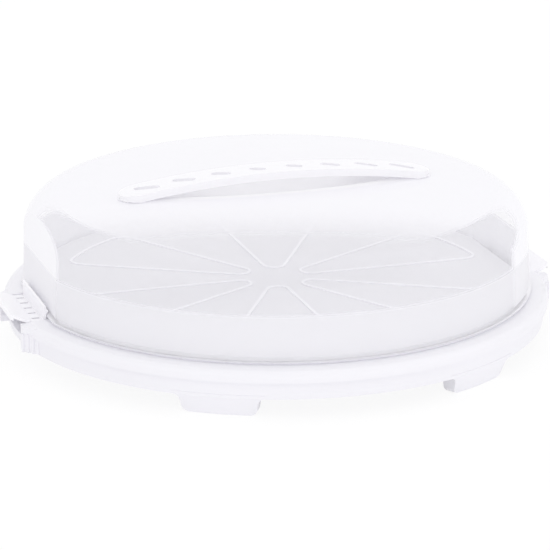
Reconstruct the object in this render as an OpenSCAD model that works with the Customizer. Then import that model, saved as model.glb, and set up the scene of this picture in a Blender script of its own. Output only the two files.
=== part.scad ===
// Round low cake carrier: a tray on four feet, a domed lift-off lid with a bow handle,
// and two side clips that hook over the lid's bead on two flats.
// Millimetres, +Z up, table at z = 0, the clips lie on the X axis.

/* [Lid] */
// Outer radius of the lid wall at its foot
lid_r = 161.8; // [150:0.1:175]
// How far the flats beside the clips cut into the round wall
flat_depth = 6; // [4:0.1:8]
// Height of the lid's crown above the seat
lid_rise = 65; // [55:0.5:100]
// Radius of the rounded shoulder
shoulder_r = 22; // [14:0.5:28]
// How far the top bulges above the shoulder
crown_rise = 4.5; // [2:0.5:8]
// How much the wall leans in from foot to shoulder
lid_draft = 1.2; // [0.4:0.1:3]
// Thickness of the lid's shell
lid_wall = 1.8; // [1.4:0.1:2.2]
// Height of the thicker satin band above the seat
band_h = 27.8; // [15:0.1:32]
// Thickness of the band
band_wall = 2.4; // [2.2:0.1:3]
// How far the bead at the lid's foot stands out
bead_out = 1.6; // [1.4:0.1:2]
// Height of the bead
bead_h = 3; // [2.6:0.1:3.6]

/* [Finger recess] */
// Length of the almond-shaped hollow under the handle
recess_len = 168; // [120:1:172]
// Width of the hollow
recess_w = 44; // [36:1:60]
// Depth of the hollow
recess_d = 12; // [8:0.5:16]

/* [Handle] */
// Length over both ends
handle_len = 206; // [202:1:214]
// Width of the strap
handle_w = 25; // [21:0.5:30]
// Rise of the bow from its ends to its middle
handle_rise = 9.3; // [8:0.1:14]
// Height of the strap's ends above their seats
handle_end_h = 2.6; // [2.4:0.1:4]
// Thickness of the strap
handle_t = 2.6; // [2:0.1:3]
// Depth of the turned-down edges
edge_d = 4.6; // [3.6:0.1:5]
// Thickness of the turned-down edges
edge_t = 2; // [1.4:0.1:2.6]
// Number of slanted holes
hole_count = 8; // [4:2:8]
// Distance between holes
hole_pitch = 24.3; // [22:0.1:24.6]
// Width of a hole
hole_w = 5.6; // [3:0.1:6.4]
// Length of the two middle holes
hole_mid_len = 11; // [8:0.5:16]
// Length of the two end holes
hole_end_len = 17; // [10:0.5:18]
// Turn of the holes away from the strap's length
hole_turn = -26; // [-40:1:0]
// Radius of the snap studs under the ends
stud_r = 3.2; // [2.4:0.1:3.6]
// Distance of a stud from the strap's end
stud_in = 5.6; // [5.2:0.1:6]

/* [Tray] */
// Height of the lid's seat above the table
seat_z = 31.5; // [28:0.5:40]
// Height of the plate above the seat
plate_up = 2; // [1:0.1:4]
// Thickness of the plate
plate_t = 2.2; // [1.8:0.1:2.6]
// Thickness of the tray's walls
tray_wall = 2.2; // [1.8:0.1:2.6]
// Depth of the shadow groove below the bead
groove_d = 1.4; // [0.8:0.1:1.8]
// Width of the rim outside the bead
rim_w = 10.9; // [10:0.1:14]
// Drop of the rim's top below the seat
rim_drop = 2; // [1.8:0.1:2.6]
// Rounding of the rim
rim_round = 4.5; // [3:0.1:5]
// Drop of the rim's lower edge below the seat
rim_edge_drop = 8.9; // [8:0.1:11]
// How far the rim overhangs the skirt
rim_hang = 2.5; // [1.5:0.1:3.2]
// Height of the skirt's lower edge above the table
skirt_z = 11.8; // [9:0.1:13]

/* [Feet] */
// Turn of each foot from the front or the back
foot_turn = 29.5; // [24:0.5:34]
// Width of a foot at the table
foot_w = 46; // [36:0.5:54]
// How much wider a foot is at the skirt
foot_flare = 4; // [2:0.5:8]
// How far a foot leans in from the skirt to the table
foot_lean = 4; // [1:0.5:6]
// Depth of a foot towards the middle
foot_d = 11; // [8:0.5:16]
// Rounding of a foot's lower corners
foot_corner = 4.5; // [2:0.5:6]
// Fillet between a foot and the skirt
foot_fillet = 5; // [2:0.5:6]

/* [Petals on the plate] */
// Number of petals
petal_count = 6; // [5:1:8]
// Radius of the petals' outer arc
petal_r = 139; // [110:1:145]
// Distance of the petals' tips from the middle
petal_tip = 20; // [14:0.5:28]
// Rounding of the petals' outer corners
petal_corner = 9; // [4:0.5:14]
// Width of the raised line
line_w = 1.8; // [1.2:0.1:2.6]
// Height of the raised line
line_h = 0.8; // [0.4:0.1:1]

/* [Ribs under the plate] */
// Thickness of a rib
rib_t = 1.4; // [1:0.1:2]
// Depth of a rib
rib_d = 5; // [3:0.5:6]
// Radius of the ring rib
ring_rib_r = 88; // [60:1:120]

/* [Clips] */
// Width of a clip
clip_w = 57; // [50:0.5:64]
// Reach of the lever beyond the lid's bead
lever_reach = 22; // [20:0.1:24]
// Height of the lever's outer edge above the seat
lever_up = 2.2; // [0.8:0.1:3]
// Rounding of the lever's outer corners
lever_corner = 8; // [3:0.5:9]
// Depth of the lever's turned-down lip
lever_lip = 3.6; // [2.4:0.1:4.4]
// Height of the arm's top above the seat
arm_up = 7.4; // [6.4:0.1:9]
// Thickness of the arm and the lever
clip_t = 1.7; // [1.4:0.1:2]
// How far the hook reaches over the bead
hook_in = 0.8; // [0.5:0.05:1]
// Clearance between the hook and the bead's slope
hook_gap = 0.7; // [0.4:0.05:0.8]
// Distance of the hinge beyond the bead
hinge_out = 8.1; // [7:0.1:9]
// Depth of the hinge below the seat
hinge_drop = 5.5; // [5:0.1:6]
// Radius of the barrel round the hinge
barrel_r = 2.8; // [2.5:0.1:3]
// Radius of the hinge pins
pin_r = 1.6; // [1.2:0.05:1.7]
// Length of each hinge pin
pin_len = 3; // [2:0.1:4]
// Number of slots in the lever
slot_count = 5; // [3:2:5]
// Distance between slots
slot_pitch = 10.7; // [8:0.1:12]
// Width of a slot
slot_w = 2.2; // [1.4:0.1:3]
// Length of a slot
slot_len = 5.4; // [4:0.1:6]
// Distance of the slots from the arm
slot_off = 0.8; // [0.6:0.1:1.6]

/* [Clip lugs on the tray] */
// Width of a lug beside the clip
lug_w = 14; // [10:0.5:20]
// How far a lug stands out beyond the rim
lug_out = 1.2; // [0.6:0.1:2.4]
// Height of a lug's lower edge above the skirt's
lug_up = 0.8; // [0.4:0.1:3]
// How far a lug's slope ends inside the skirt
lug_bite = 5; // [3:0.5:7]
// Number of upright ribs on a lug
lug_rib_count = 3; // [2:1:4]
// Radius of those ribs
lug_rib_r = 1; // [0.6:0.1:1.4]

/* [Fits] */
// Clearance between the plate's edge and the lid
plate_gap = 0.6; // [0.3:0.05:1]
// Running clearance of the hinge pins
pin_gap = 0.08; // [0.05:0.01:0.1]
// Clearance under a clip's barrel, where its lever swings down
floor_gap = 6.2; // [5:0.1:6.8]
// Clearance between a clip and the tray
clip_gap = 0.4; // [0.3:0.05:0.5]
// Clearance of the studs in the lid
stud_gap = 0.1; // [0.05:0.01:0.2]

/* [Hidden] */
$fn = 144;
fine_fn = 1800;
// Inset that makes a straight edge cross a round corner cleanly
nick = 0.02;
far = 400;

// Lid
lid_top_z = seat_z + lid_rise;
bead_r = lid_r + bead_out;
bead_slope_z = seat_z + bead_h - bead_out;
flat_x = lid_r - flat_depth;
// The bead stands out a little more on the flats, so that no four faces meet in one point
flat_bead_x = flat_x + bead_out + 10 * nick;
shoulder_x = lid_r - lid_draft - shoulder_r;
crown_r = (shoulder_x * shoulder_x + crown_rise * crown_rise) / (2 * crown_rise);
crown_zc = lid_top_z - crown_r;
shoulder_z = crown_zc + sqrt(pow(crown_r - shoulder_r, 2) - shoulder_x * shoulder_x);
wall_lean = lid_draft / (shoulder_z - seat_z);

// Height of the lid's outer surface at a distance from the middle
function crown_z(x) = crown_zc + sqrt(crown_r * crown_r - x * x);

// Recess: an arc turned about an axis that runs above the lid
recess_axis_up = (recess_w * recess_w / 4 - recess_d * recess_d) / (2 * recess_d);
recess_turn_r = recess_axis_up + recess_d;
recess_arc_r = (recess_len * recess_len / 4 + recess_d * recess_d) / (2 * recess_d);

// Handle
end_r = handle_w / 2;
end_x = handle_len / 2 - end_r;
stud_x = handle_len / 2 - stud_in;
pad_lift = 0.3;
pad_z = crown_z(stud_x - stud_in) + pad_lift;
pad_margin = 1;
bow_r = (handle_len * handle_len / 4 + handle_rise * handle_rise) / (2 * handle_rise);
bow_top_z = pad_z + handle_end_h + handle_rise;
bow_zc = bow_top_z - bow_r;
stud_head_r = stud_r + 0.8;
stud_head_h = 1.8;
stud_head_z = crown_z(stud_x + stud_head_r) - lid_wall - stud_gap - 0.1;
stud_split = 1.4;
last_hole_x = hole_pitch * (hole_count - 1) / 2;

// Tray
plate_z = seat_z + plate_up;
plate_r = lid_r - band_wall - plate_gap;
plate_flat_x = flat_x - band_wall - plate_gap;
seat_inset = 0.3;
groove_z = seat_z - groove_d;
rim_r = bead_r + rim_w;
rim_top_z = seat_z - rim_drop;
rim_edge_z = seat_z - rim_edge_drop;
skirt_r = rim_r - rim_hang;
skirt_draft = 0.4;
skirt_low_r = skirt_r - skirt_draft;
under_z = rim_top_z - tray_wall;
roof_z = skirt_z + tray_wall;
foot_step = 0.4;
foot_r = skirt_low_r - foot_step;
plate_under_z = plate_z - plate_t;

// Petals: straight sides on rays from the middle, a round tip and round corners
petal_half = 90 / petal_count;
tip_x = petal_tip / (1 - sin(petal_half));
tip_round = tip_x * sin(petal_half);
corner_at = petal_r - petal_corner;
corner_angle = petal_half - asin(petal_corner / corner_at);
petal_turn = petal_half;
petal_steps = 10;

// Clips
hinge_x = flat_bead_x + hinge_out;
hinge_z = seat_z - hinge_drop;
arm_x = flat_bead_x + clip_gap;
arm_top_z = seat_z + arm_up;
lever_x = flat_bead_x + lever_reach;
lever_z = seat_z + lever_up;
root_z = hinge_z + barrel_r + 0.2;
hook_x = flat_bead_x - hook_in;
hook_z = bead_slope_z + hook_in + hook_gap * sqrt(2);
hook_nose = 0.8;
slot_x = arm_x + clip_t + slot_off;
slot_floor_z = hinge_z - 0.5;

// Pocket in the rim that takes the clip
pocket_half = clip_w / 2 + clip_gap;
pocket_x = arm_x - clip_gap / 2;
pocket_floor_z = hinge_z - barrel_r - floor_gap;
pin_hole_len = pin_len + clip_gap;
lug_x = rim_r + lug_out - lug_rib_r;
lug_end_x = skirt_r - lug_bite;
lug_z = skirt_z + lug_up;
lug_drop = 0.6;
lug_top_z = rim_top_z - lug_drop;
lug_step = 0.42 * lug_w;

// Section of the dome above a level, drawn smaller by an inset
module dome_section(inset, low_z) {
    tangent_x = shoulder_x * (crown_r - inset) / (crown_r - shoulder_r);
    polygon([
        [0, low_z],
        [lid_r - inset + wall_lean * (seat_z - low_z), low_z],
        [lid_r - lid_draft - inset, shoulder_z],
        [0, shoulder_z]
    ]);
    translate([shoulder_x, shoulder_z]) circle(r = shoulder_r - inset);
    intersection() {
        translate([0, crown_zc]) circle(r = crown_r - inset, $fn = fine_fn);
        translate([0, shoulder_z]) square([tangent_x, 2 * shoulder_r]);
    }
}

// Outline between the two flats, which lean in as the round wall does
module flats_section(inset, low_z) {
    low = flat_x - inset + wall_lean * (seat_z - low_z);
    high_z = lid_top_z + crown_rise;
    high = low - wall_lean * (high_z - low_z);
    polygon([[-low, low_z], [low, low_z], [high, high_z], [-high, high_z]]);
}

// Outline of the sloped bead that the hooks catch, from an inner to an outer end
module bead_section(from_x, to_x) {
    top = bead_out + lid_wall / 2;
    in_x = from_x < 0 ? from_x + top : from_x;
    polygon([
        [from_x, seat_z],
        [to_x, seat_z],
        [to_x, bead_slope_z],
        [to_x - top, bead_slope_z + top],
        [in_x, bead_slope_z + top],
        [from_x, bead_slope_z]
    ]);
}

// Turned about Z and cut off by an outline that runs along Y
module flatted() {
    intersection() {
        rotate_extrude() children(0);
        rotate([90, 0, 0]) linear_extrude(height = far, center = true) children(1);
    }
}

// The room inside the lid: narrower within the thicker band, open at the seat
module lid_room() {
    flatted() {
        dome_section(band_wall, seat_z - 1);
        flats_section(band_wall, seat_z - 1);
    }
    flatted() {
        dome_section(lid_wall, seat_z + band_h);
        flats_section(lid_wall, seat_z + band_h);
    }
}

// Almond of revolution along X; it grows by the shell's thickness for the outer wall
module recess_form(grow) {
    translate([0, 0, lid_top_z + recess_axis_up])
        rotate([0, 90, 0])
            rotate_extrude()
                intersection() {
                    translate([recess_turn_r - recess_arc_r, 0])
                        circle(r = recess_arc_r + grow, $fn = fine_fn);
                    translate([0, -recess_len]) square([recess_len, 2 * recess_len]);
                }
}

module handle_pads(height) {
    for (side = [-1, 1])
        translate([side * end_x, 0, lid_top_z - 2 * lid_wall - crown_rise])
            cylinder(r = end_r + pad_margin, h = height);
}

module lid() {
    color([0.93, 0.94, 0.97, 0.45])
    difference() {
        union() {
            difference() {
                union() {
                    flatted() {
                        dome_section(0, seat_z);
                        flats_section(0, seat_z);
                    }
                    flatted() {
                        bead_section(0, bead_r);
                        bead_section(-flat_bead_x, flat_bead_x);
                    }
                }
                lid_room();
            }
            intersection() {
                rotate_extrude() dome_section(lid_wall / 2, seat_z);
                recess_form(lid_wall);
            }
            difference() {
                handle_pads(pad_z - lid_top_z + 2 * lid_wall + crown_rise);
                rotate_extrude() dome_section(lid_wall, seat_z);
            }
        }
        recess_form(0);
        for (side = [-1, 1])
            translate([side * stud_x, 0, shoulder_z])
                cylinder(r = stud_r + stud_gap, h = 3 * shoulder_r);
    }
}

// Plan of the strap: straight sides and round ends
module strap_plan(inset) {
    square([2 * end_x, handle_w - 2 * inset], center = true);
    for (side = [-1, 1]) translate([side * end_x, 0]) circle(r = end_r - inset);
}

// Everything below a bow that lies under the strap's top by a drop
module below_bow(drop) {
    rotate([90, 0, 0])
        linear_extrude(height = 2 * handle_w, center = true)
            intersection() {
                translate([0, bow_zc]) circle(r = bow_r - drop, $fn = fine_fn);
                translate([-handle_len, pad_z]) square([2 * handle_len, bow_top_z]);
            }
}

// A slanted hole: long towards the ends, short in the middle
module strap_hole(at_x) {
    grow = (abs(at_x) - hole_pitch / 2) / (last_hole_x - hole_pitch / 2);
    len = hole_mid_len + (hole_end_len - hole_mid_len) * grow;
    translate([at_x, 0, pad_z - 1])
        rotate([0, 0, hole_turn])
            linear_extrude(height = bow_top_z) {
                square([len - hole_w, hole_w], center = true);
                for (side = [-1, 1])
                    translate([side * (len - hole_w) / 2, 0]) circle(r = hole_w / 2);
            }
}

module snap_stud() {
    difference() {
        union() {
            translate([0, 0, stud_head_z]) cylinder(r = stud_r, h = pad_z - stud_head_z + 1);
            translate([0, 0, stud_head_z - stud_head_h])
                cylinder(r1 = stud_r - 0.4, r2 = stud_head_r, h = stud_head_h);
        }
        translate([-stud_split / 2, -far / 2, stud_head_z - far])
            cube([stud_split, far, far + 1.2]);
    }
}

module carry_handle() {
    color([0.97, 0.97, 0.98]) {
        difference() {
            intersection() {
                translate([0, 0, pad_z]) linear_extrude(height = bow_top_z) strap_plan(0);
                below_bow(0);
            }
            difference() {
                intersection() {
                    translate([0, 0, pad_z - 1])
                        linear_extrude(height = bow_top_z) strap_plan(edge_t);
                    below_bow(handle_t);
                }
                for (side = [-1, 1])
                    translate([side * stud_x, 0, pad_z]) cylinder(r = stud_in, h = bow_top_z);
            }
            below_bow(edge_d);
            for (k = [0 : hole_count - 1]) strap_hole((k - (hole_count - 1) / 2) * hole_pitch);
        }
        for (side = [-1, 1]) translate([side * stud_x, 0, 0]) snap_stud();
    }
}

// Section of the groove's floor, the rounded rim and the skirt
module rim_section() {
    polygon([
        [0, groove_z],
        [lid_r - seat_inset, groove_z],
        [rim_r - rim_round, rim_top_z],
        [rim_r - rim_round, rim_top_z - rim_round],
        [rim_r, rim_top_z - rim_round],
        [rim_r, rim_edge_z],
        [skirt_r, rim_edge_z],
        [skirt_low_r, skirt_z],
        [skirt_low_r - tray_wall, skirt_z],
        [skirt_r - tray_wall, under_z],
        [0, under_z]
    ]);
    intersection() {
        translate([rim_r - rim_round, rim_top_z - rim_round]) circle(r = rim_round);
        translate([rim_r - rim_round, rim_top_z - rim_round]) square(rim_round);
    }
}

// A round layer with two flats
module flat_disc(r, half, low_z, high_z) {
    intersection() {
        translate([0, 0, low_z]) cylinder(r = r, h = high_z - low_z);
        translate([-half, -far / 2, low_z - 1]) cube([2 * half, far, high_z - low_z + 2]);
    }
}

// Ribs in a star with one ring, let into the plate and the wall below its edge
module plate_ribs() {
    low_z = plate_under_z - rib_d;
    into = tray_wall / 2;
    intersection() {
        flat_disc(plate_r - into, plate_flat_x - into, low_z, plate_under_z + into);
        union() {
            for (k = [0 : petal_count - 1])
                rotate([0, 0, k * 180 / petal_count])
                    translate([-far / 2, -rib_t / 2, low_z - 1]) cube([far, rib_t, 2 * rib_d + plate_t]);
            translate([0, 0, low_z - 1])
                rotate_extrude()
                    translate([ring_rib_r - rib_t / 2, 0]) square([rib_t, 2 * rib_d + plate_t]);
        }
    }
}

// Half the outline of a foot: flared side, round lower corner, fillet at the skirt
module half_foot() {
    flare = atan(foot_flare / 2 / skirt_z);
    side = [cos(flare), -sin(flare)];
    corner_x = foot_w / 2 - foot_corner;
    low = [corner_x, foot_corner] + (foot_corner - nick) * side;
    high_x = low[0] + (skirt_z - low[1]) * tan(flare);
    fillet = [high_x + foot_fillet * (1 - side[0] * tan(flare)) / side[0], skirt_z - foot_fillet];
    polygon([
        [-1, 0], [corner_x, 0], [corner_x, foot_corner], low,
        [high_x, skirt_z], [high_x, roof_z], [-1, roof_z]
    ]);
    translate([corner_x, foot_corner]) circle(r = foot_corner);
    difference() {
        polygon([
            [high_x - foot_flare, roof_z],
            fillet - (foot_fillet + nick) * side - [foot_flare, 0],
            fillet - (foot_fillet - nick) * side,
            fillet,
            [fillet[0], roof_z]
        ]);
        translate([fillet[0], fillet[1] + nick]) circle(r = foot_fillet);
    }
}

module foot_prism() {
    translate([foot_r - 2 * foot_d, 0, 0])
        rotate([90, 0, 90])
            linear_extrude(height = 3 * foot_d) {
                half_foot();
                mirror([1, 0]) half_foot();
            }
}

// A round body that leans in towards the table
module leaning_round(r) {
    translate([0, 0, -skirt_z])
        cylinder(r1 = r - 2 * foot_lean, r2 = r + foot_lean, h = 3 * skirt_z);
}

// A hollow foot, open below, set a little back from the skirt's face
module foot() {
    difference() {
        intersection() {
            foot_prism();
            leaning_round(foot_r);
        }
        translate([0, 0, -1]) cylinder(r = foot_r - foot_d, h = 3 * skirt_z);
        intersection() {
            translate([foot_r - foot_d, -foot_w / 2 + tray_wall, -1])
                cube([foot_d, foot_w - 2 * tray_wall, skirt_z + 1]);
            leaning_round(foot_r - tray_wall);
            difference() {
                translate([0, 0, -2]) cylinder(r = far, h = 2 * skirt_z);
                translate([0, 0, -3]) cylinder(r = foot_r - foot_d + tray_wall, h = 3 * skirt_z);
            }
        }
    }
}

// Points round a petal: tip, one corner, outer arc, other corner
function arc_points(centre, r, from, to) = [
    for (k = [0 : petal_steps])
        centre + r * [cos(from + (to - from) * k / petal_steps), sin(from + (to - from) * k / petal_steps)]
];

module petal_outline(grow) {
    side = 90 + petal_half;
    out = corner_at * [cos(corner_angle), sin(corner_angle)];
    polygon(concat(
        arc_points([tip_x, 0], tip_round + grow, 360 - side, side),
        arc_points(out, petal_corner + grow, side, corner_angle),
        arc_points([0, 0], petal_r + grow, corner_angle, -corner_angle),
        arc_points([out[0], -out[1]], petal_corner + grow, -corner_angle, -side)
    ));
}

module petal_line() {
    difference() {
        petal_outline(line_w / 2);
        petal_outline(-line_w / 2);
    }
}

// Plan of the lug beside a clip, on the +Y side: it slopes back into the skirt
module lug_plan() {
    polygon([
        [pocket_x - tray_wall, pocket_half - 1],
        [lug_x, pocket_half - 1],
        [lug_x, pocket_half + lug_step],
        [lug_end_x, pocket_half + lug_w],
        [pocket_x - tray_wall, pocket_half + lug_w]
    ]);
}

module clip_lug() {
    height = lug_top_z - lug_z;
    run_x = lug_end_x - lug_x;
    run_y = lug_w - lug_step;
    difference() {
        translate([0, 0, lug_z]) linear_extrude(height = height) lug_plan();
        translate([0, 0, lug_z - 1])
            cylinder(r = skirt_r - tray_wall, h = pocket_floor_z - tray_wall - lug_z + 1);
    }
    for (k = [0 : lug_rib_count - 1])
        translate([
            lug_x + run_x * k / lug_rib_count,
            pocket_half + lug_step + run_y * k / lug_rib_count,
            lug_z
        ])
            cylinder(r = lug_rib_r, h = height - rim_round, $fn = 48);
}

// Walls of the pocket under and behind a clip, held inside the skirt
module clip_block() {
    low_z = pocket_floor_z - tray_wall;
    intersection() {
        translate([pocket_x - tray_wall, -pocket_half - lug_w / 2, low_z])
            cube([far, 2 * pocket_half + lug_w, under_z + 1 - low_z]);
        cylinder(r = skirt_low_r, h = far);
    }
}

module clip_pocket() {
    translate([pocket_x, -pocket_half, pocket_floor_z]) cube([far / 2, 2 * pocket_half, far]);
    translate([hinge_x, 0, hinge_z])
        rotate([90, 0, 0])
            cylinder(r = pin_r + pin_gap, h = 2 * (pocket_half + pin_hole_len), center = true, $fn = 64);
}

module base_tray() {
    color([0.96, 0.96, 0.97]) {
        difference() {
            union() {
                rotate_extrude() rim_section();
                flat_disc(lid_r - seat_inset, flat_x - seat_inset, under_z + 1, seat_z);
                flat_disc(plate_r, plate_flat_x, under_z + 1, plate_z);
                for (turn = [0, 180]) rotate([0, 0, turn]) {
                    clip_block();
                    clip_lug();
                    mirror([0, 1, 0]) clip_lug();
                }
                for (turn = [foot_turn, -foot_turn, 180 + foot_turn, 180 - foot_turn])
                    rotate([0, 0, turn - 90]) foot();
            }
            flat_disc(plate_r - tray_wall, plate_flat_x - tray_wall, under_z - 1, plate_under_z);
            for (turn = [0, 180]) rotate([0, 0, turn]) clip_pocket();
        }
        for (k = [0 : petal_count - 1])
            rotate([0, 0, petal_turn + k * 360 / petal_count])
                translate([0, 0, plate_z - plate_t / 2])
                    linear_extrude(height = line_h + plate_t / 2) petal_line();
        plate_ribs();
    }
}

// Section of a clip: arm with its hook, root over the hinge, and the rising lever
module clip_section() {
    tip = clip_t / 2;
    polygon([
        [arm_x, root_z - clip_t],
        [arm_x + clip_t, root_z - clip_t],
        [arm_x + clip_t, arm_top_z - tip],
        [arm_x, arm_top_z - tip]
    ]);
    translate([arm_x + tip, arm_top_z - tip]) circle(r = tip, $fn = 32);
    polygon([
        [arm_x + tip, hook_z - hook_in - clip_gap - tip],
        [hook_x, hook_z],
        [hook_x, hook_z + hook_nose],
        [arm_x + tip, hook_z + 2.5 * hook_nose]
    ]);
    polygon([
        [arm_x, root_z - clip_t],
        [arm_x, root_z],
        [hinge_x, root_z],
        [lever_x - tip, lever_z],
        [lever_x - tip, lever_z - clip_t],
        [hinge_x, root_z - clip_t]
    ]);
    translate([lever_x - tip, lever_z - tip]) circle(r = tip, $fn = 32);
    translate([lever_x - clip_t, lever_z - lever_lip]) square([clip_t, lever_lip - tip]);
}

module clip_slot(at_y) {
    round = slot_w / 2;
    translate([slot_x, at_y, slot_floor_z])
        linear_extrude(height = arm_up + hinge_drop) {
            translate([round, -round]) square([slot_len - slot_w, slot_w]);
            for (x = [round, slot_len - round]) translate([x, 0]) circle(r = round, $fn = 32);
        }
}

// What is cut away to round the lever's outer corner on the +Y side
module corner_cut() {
    low_z = root_z - clip_t;
    translate([lever_x - lever_corner, clip_w / 2 - lever_corner, low_z])
        difference() {
            cube([2 * lever_corner, 2 * lever_corner, far]);
            translate([0, 0, -1]) cylinder(r = lever_corner - nick, h = far + 2, $fn = 64);
        }
}

// A clip on the +X side, straight along Y, with its hinge barrel and end pins
module clip() {
    color([0.97, 0.97, 0.98])
    difference() {
        union() {
            rotate([90, 0, 0]) linear_extrude(height = clip_w, center = true) clip_section();
            translate([hinge_x, 0, hinge_z])
                rotate([90, 0, 0]) {
                    cylinder(r = barrel_r, h = clip_w, center = true, $fn = 64);
                    cylinder(r = pin_r, h = clip_w + 2 * pin_len, center = true, $fn = 64);
                }
        }
        for (k = [0 : slot_count - 1]) clip_slot((k - (slot_count - 1) / 2) * slot_pitch);
        corner_cut();
        mirror([0, 1, 0]) corner_cut();
    }
}

module clip_right() {
    clip();
}

module clip_left() {
    mirror([1, 0, 0]) clip();
}

base_tray();
lid();
carry_handle();
clip_left();
clip_right();
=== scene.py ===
import math

import bpy
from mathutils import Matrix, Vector


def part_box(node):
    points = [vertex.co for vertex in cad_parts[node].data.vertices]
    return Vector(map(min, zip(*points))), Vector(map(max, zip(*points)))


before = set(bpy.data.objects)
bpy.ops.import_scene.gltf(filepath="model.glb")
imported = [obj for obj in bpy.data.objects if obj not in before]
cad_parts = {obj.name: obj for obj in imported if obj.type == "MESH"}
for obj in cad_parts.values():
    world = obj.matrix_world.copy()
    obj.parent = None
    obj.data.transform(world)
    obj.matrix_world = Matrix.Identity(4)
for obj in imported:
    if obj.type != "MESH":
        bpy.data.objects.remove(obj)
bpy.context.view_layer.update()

# ---------------------------------------------------------------------------
# Camera. It stands to the left of the front, a little above the rim, and looks
# at the middle of the seam between lid and tray, as the photograph does.
# ---------------------------------------------------------------------------
seam_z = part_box("lid")[0].z
camera_turn = math.radians(17.9)
camera_rise = math.radians(17.41)
camera_distance = 1.8
focal_px = 2802.0
picture_px = 550.0
seam_px = (276.0, 280.2)

seam_middle = Vector((0.0, 0.0, seam_z))
view_back = Vector((
    -math.cos(camera_rise) * math.sin(camera_turn),
    -math.cos(camera_rise) * math.cos(camera_turn),
    math.sin(camera_rise),
))
camera_data = bpy.data.cameras.new("camera")
camera = bpy.data.objects.new("camera", camera_data)
bpy.context.scene.collection.objects.link(camera)
camera.location = seam_middle + camera_distance * view_back
camera.rotation_euler = (-view_back).to_track_quat("-Z", "Y").to_euler()
camera_data.sensor_width = 36.0
camera_data.lens = focal_px / picture_px * camera_data.sensor_width
camera_data.shift_x = -(seam_px[0] - picture_px / 2) / picture_px
camera_data.shift_y = (seam_px[1] - picture_px / 2) / picture_px
camera_data.clip_end = 20.0
bpy.context.scene.camera = camera


# ---------------------------------------------------------------------------
# Studio. A white sweep stands all round, and a plain pale floor keeps the
# carrier's soft shadow. Its surface glows a little, which lights the skirt and
# feet from below. One class wires every material in this file.
# ---------------------------------------------------------------------------
class Wire:
    """A value in a material's node tree. Arithmetic on it adds Math nodes."""

    def __init__(self, tree, socket):
        self.tree = tree
        self.socket = socket

    def math(self, operation, first, second=0.0):
        sockets = {0: first, 1: second}
        return add_node(self.tree, "ShaderNodeMath", {"operation": operation}, sockets).out(0)

    def __add__(self, other):
        return self.math("ADD", self, other)

    def __radd__(self, other):
        return self.math("ADD", other, self)

    def __sub__(self, other):
        return self.math("SUBTRACT", self, other)

    def __rsub__(self, other):
        return self.math("SUBTRACT", other, self)

    def __mul__(self, other):
        return self.math("MULTIPLY", self, other)

    def __rmul__(self, other):
        return self.math("MULTIPLY", other, self)

    def __truediv__(self, other):
        return self.math("DIVIDE", self, other)

    def __rtruediv__(self, other):
        return self.math("DIVIDE", other, self)

    def __pow__(self, other):
        return self.math("POWER", self, other)

    def __gt__(self, other):
        return self.math("GREATER_THAN", self, other)

    def __lt__(self, other):
        return self.math("LESS_THAN", self, other)


class Node:
    """One shader node whose sockets are reached by name or number."""

    def __init__(self, tree, node):
        self.tree = tree
        self.node = node

    def out(self, name):
        return Wire(self.tree, self.node.outputs[name])


def add_node(tree, kind, settings=None, sockets=None):
    node = tree.nodes.new(kind)
    for name, value in (settings or {}).items():
        setattr(node, name, value)
    for name, value in (sockets or {}).items():
        if isinstance(value, Wire):
            tree.links.new(value.socket, node.inputs[name])
        else:
            node.inputs[name].default_value = value
    return Node(tree, node)


def ramp(tree, value, low, high):
    """Runs smoothly from 0 where value is low to 1 where it is high."""
    settings = {"interpolation_type": "SMOOTHSTEP"}
    sockets = {"Value": value, "From Min": low, "From Max": high, "To Min": 0.0, "To Max": 1.0}
    return add_node(tree, "ShaderNodeMapRange", settings, sockets).out("Result")


def blend_colour(tree, amount, first, second):
    """Runs from the first colour to the second, each a Wire or red, green and blue."""
    first, second = (tone if isinstance(tone, Wire) else (*tone, 1.0) for tone in (first, second))
    return add_node(tree, "ShaderNodeMix", {"data_type": "RGBA"}, {0: amount, 6: first, 7: second}).out(2)


def new_material(name):
    material = bpy.data.materials.new(name)
    material.use_nodes = True
    material.node_tree.nodes.clear()
    return material, material.node_tree


def close_material(tree, shader):
    add_node(tree, "ShaderNodeOutputMaterial", None, {"Surface": shader})


def seen_directly(tree):
    """1 for the camera's own rays and for those mirrored or let through by the object."""
    path = add_node(tree, "ShaderNodeLightPath")
    direct = path.out("Is Camera Ray") + path.out("Is Glossy Ray") + path.out("Is Transmission Ray")
    return direct > 0.5


pure_white = (1.0, 1.0, 1.0, 1.0)
ambient_strength = 0.87
world = bpy.data.worlds.new("studio")
world.use_nodes = True
world.node_tree.nodes.clear()
bpy.context.scene.world = world
air = world.node_tree
strength = ambient_strength + seen_directly(air) * (1.0 - ambient_strength)
sky = add_node(air, "ShaderNodeBackground", None, {"Color": pure_white, "Strength": strength})
add_node(air, "ShaderNodeOutputWorld", None, {"Surface": sky.out(0)})

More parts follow.
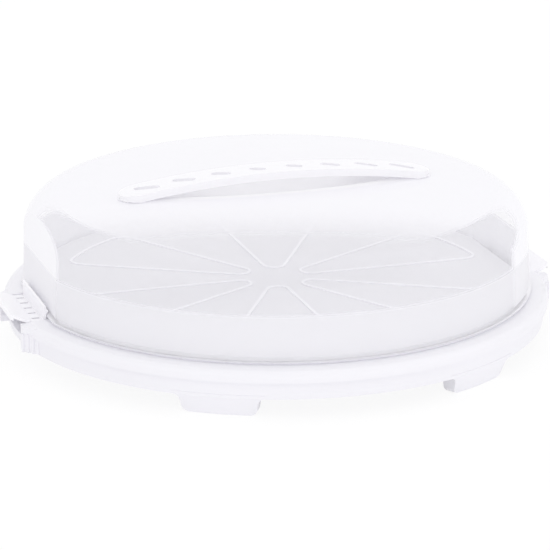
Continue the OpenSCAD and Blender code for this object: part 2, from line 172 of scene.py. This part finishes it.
floor_half = 6.0
floor_drop = 0.0003
floor_white = (0.96, 0.96, 0.965, 1.0)
floor_glow = 1.02
glow_share = 0.3
glow_seen = 0.86
floor_signs = [(-1, -1), (1, -1), (1, 1), (-1, 1)]
floor_corners = [(x * floor_half, y * floor_half, 0.0) for x, y in floor_signs]
floor_mesh = bpy.data.meshes.new("floor")
floor_mesh.from_pydata(floor_corners, [], [(0, 1, 2, 3)])
floor = bpy.data.objects.new("floor", floor_mesh)
bpy.context.scene.collection.objects.link(floor)
floor.location.z = -floor_drop
floor_paint, tree = new_material("studio_floor")
matt = add_node(tree, "ShaderNodeBsdfDiffuse", None, {"Color": floor_white}).out(0)
glow = add_node(tree, "ShaderNodeEmission", None, {"Color": pure_white, "Strength": floor_glow}).out(0)
lift = glow_share + seen_directly(tree) * (glow_seen - glow_share)
close_material(tree, add_node(tree, "ShaderNodeMixShader", None, {0: lift, 1: matt, 2: glow}).out(0))
floor_mesh.materials.append(floor_paint)


def soft_box(name, place, size, power, aim_z=0.05):
    """A rectangular studio lamp that looks at the carrier's middle."""
    data = bpy.data.lights.new(name, "AREA")
    data.shape = "RECTANGLE"
    data.size, data.size_y = size
    data.energy = power
    lamp = bpy.data.objects.new(name, data)
    bpy.context.scene.collection.objects.link(lamp)
    lamp.location = place
    lamp.rotation_euler = (Vector((0.0, 0.0, aim_z)) - Vector(place)).to_track_quat("-Z", "Y").to_euler()


soft_box("key_light", (-1.5, -0.8, 1.2), (1.4, 1.0), 3.0)
soft_box("right_light", (1.5, -0.7, 0.8), (1.2, 0.8), 1.5)
soft_box("top_light", (0.3, 0.5, 1.7), (1.6, 1.2), 3.0)
soft_box("front_light", (0.2, -1.6, 0.16), (2.4, 0.28), 2.5, aim_z=0.03)

# ---------------------------------------------------------------------------
# Tray. One injection-moulded piece of white plastic: a plate with raised petal
# lines, a seat for the lid, a rounded rim, and a skirt that carries four feet.
# ---------------------------------------------------------------------------
plastic_white = (0.905, 0.897, 0.94)
# Painted shade: the flat plate between the raised lines is painted this darker grey for the dim light
# under the lid.
plate_painted_shade = (0.755, 0.747, 0.785)
plastic_ior = 1.49
plate_z = seam_z + 0.002
plate_edge_r = 0.1585
line_h = 0.0008
plate_matt = 0.12


def moulded_plastic(name, colour, low_gloss, high_gloss):
    """White moulded plastic: faint flow clouds, uneven gloss and a fine skin."""
    cloud_scale, cloud_shade = 26.0, 0.985
    skin_scale, skin_gloss, skin_strength, skin_depth = 900.0, 0.05, 0.06, 0.0002
    material, tree = new_material(name)
    place = add_node(tree, "ShaderNodeTexCoord").out("Object")
    cloud_sockets = {"Vector": place, "Scale": cloud_scale, "Detail": 3.0}
    skin_sockets = {"Vector": place, "Scale": skin_scale, "Detail": 2.0}
    clouds = add_node(tree, "ShaderNodeTexNoise", None, cloud_sockets).out(0)
    skin = add_node(tree, "ShaderNodeTexNoise", None, skin_sockets).out(0)
    tint = blend_colour(tree, clouds, [tone * cloud_shade for tone in colour], colour)
    gloss = low_gloss + (high_gloss - low_gloss) * clouds + skin_gloss * (skin - 0.5)
    bump_sockets = {"Strength": skin_strength, "Distance": skin_depth, "Height": skin}
    bump = add_node(tree, "ShaderNodeBump", None, bump_sockets).out(0)
    spot = add_node(tree, "ShaderNodeSeparateXYZ", None, {"Vector": place})
    return material, tree, spot, tint, gloss, bump


def close_plastic(tree, tint, gloss, bump, cover=1.0):
    """Ends a plastic in its shell. cover is how much of what lies behind it hides."""
    sockets = {"Base Color": tint, "Roughness": gloss, "Normal": bump, "Alpha": cover, "IOR": plastic_ior}
    close_material(tree, add_node(tree, "ShaderNodeBsdfPrincipled", None, sockets).out(0))


tray_plastic, tree, spot, tint, gloss, bump = moulded_plastic("tray_plastic", plastic_white, 0.34, 0.46)
x, y, z = spot.out("X"), spot.out("Y"), spot.out("Z")
on_plate = (z > plate_z - line_h / 2) * ((x * x + y * y) ** 0.5 < plate_edge_r)
on_line = ramp(tree, z, plate_z + line_h / 8, plate_z + line_h / 2)
between_lines = on_plate * (1.0 - on_line)
# The plate between the raised lines gets painted shade; the raised lines keep the tray's white.
tray_tint = blend_colour(tree, between_lines, tint, plate_painted_shade)
close_plastic(tree, tray_tint, gloss + plate_matt * between_lines, bump)


def dress(node_name, material):
    """Gives a carried-over CAD piece its finish."""
    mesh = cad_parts[node_name].data
    for index in range(len(mesh.materials)):
        mesh.materials[index] = material
    if not mesh.materials:
        mesh.materials.append(material)


dress("base_tray", tray_plastic)

# ---------------------------------------------------------------------------
# Lid. One thin moulded shell of milky, half-clear plastic with a satin band at
# its foot and an almond-shaped finger hollow under the handle. It turns milky at
# a grazing view, and it scatters light on inward more than it lets be seen.
# ---------------------------------------------------------------------------
milk_white = (0.945, 0.937, 0.98)
# Painted light: the finger hollow is painted paler than the lid to lift the shade the handle casts into
# it.
hollow_painted_light = (0.985, 0.98, 0.995)
# Painted shade: the foot band's colour is a darker copy of the milky white; its satin finish is real and
# only sets the rougher gloss and fuller cover.
band_top_z, band_edge, band_painted_shade, band_matt = seam_z + 0.0278, 0.0006, 0.92, 0.25
hollow_low_z, hollow_fade = seam_z + 0.049, 0.002
hollow_half_l, hollow_half_w = 0.088, 0.026
hollow_inner, hollow_outer = 0.8, 1.2
foot_low_z, foot_high_z = seam_z + 0.0008, seam_z + 0.0035
wall_cover, band_cover, hollow_cover, grazing_cover = 0.21, 0.62, 0.8, 0.96
milky_from, milky_full = 0.66, 0.71
light_let_through = 0.85

lid_plastic, tree, spot, tint, gloss, bump = moulded_plastic("lid_plastic", milk_white, 0.10, 0.20)
x, y, z = spot.out("X"), spot.out("Y"), spot.out("Z")
band = 1.0 - ramp(tree, z, band_top_z - band_edge, band_top_z + band_edge)
along, across = x / hollow_half_l, y / hollow_half_w
in_oval = 1.0 - ramp(tree, along * along + across * across, hollow_inner, hollow_outer)
hollow = in_oval * ramp(tree, z, hollow_low_z, hollow_low_z + hollow_fade)
facing = add_node(tree, "ShaderNodeLayerWeight", None, {"Blend": 0.5}).out("Facing")
cover = wall_cover + (band_cover - wall_cover) * band + (hollow_cover - wall_cover) * hollow
cover = cover + (grazing_cover - cover) * ramp(tree, facing, milky_from, milky_full)
path = add_node(tree, "ShaderNodeLightPath")
soft_light = path.out("Is Shadow Ray") + path.out("Is Diffuse Ray") > 0.5
above_foot = ramp(tree, z, foot_low_z, foot_high_z)
cover = cover * (1.0 - light_let_through * soft_light * above_foot)
# The finger hollow gets painted light, a paler white than the rest of the lid.
lid_tint = blend_colour(tree, hollow, tint, hollow_painted_light)
# The foot band gets painted shade, a darker copy of the lid's milky white.
lid_tint = blend_colour(tree, band, lid_tint, [tone * band_painted_shade for tone in milk_white])
close_plastic(tree, lid_tint, gloss + band_matt * band, bump, cover)
dress("lid", lid_plastic)

# ---------------------------------------------------------------------------
# Handle. A bowed strap of white plastic with eight slanted holes. Two split
# studs below its ends snap into the lid.
# ---------------------------------------------------------------------------
fitting_white = (0.97, 0.962, 0.995)
fitting_gloss = (0.28, 0.40)
fitting_plastic, tree, spot, tint, gloss, bump = moulded_plastic(
    "fitting_plastic", fitting_white, *fitting_gloss
)
close_plastic(tree, tint, gloss, bump)
dress("carry_handle", fitting_plastic)

# ---------------------------------------------------------------------------
# Clips. Slotted levers of the handle's plastic. Each turns on its own end pins
# in the tray's lugs and hooks over the lid's bead.
# ---------------------------------------------------------------------------
dress("clip_left", fitting_plastic)
dress("clip_right", fitting_plastic)

bpy.context.scene.view_settings.view_transform = "Standard"
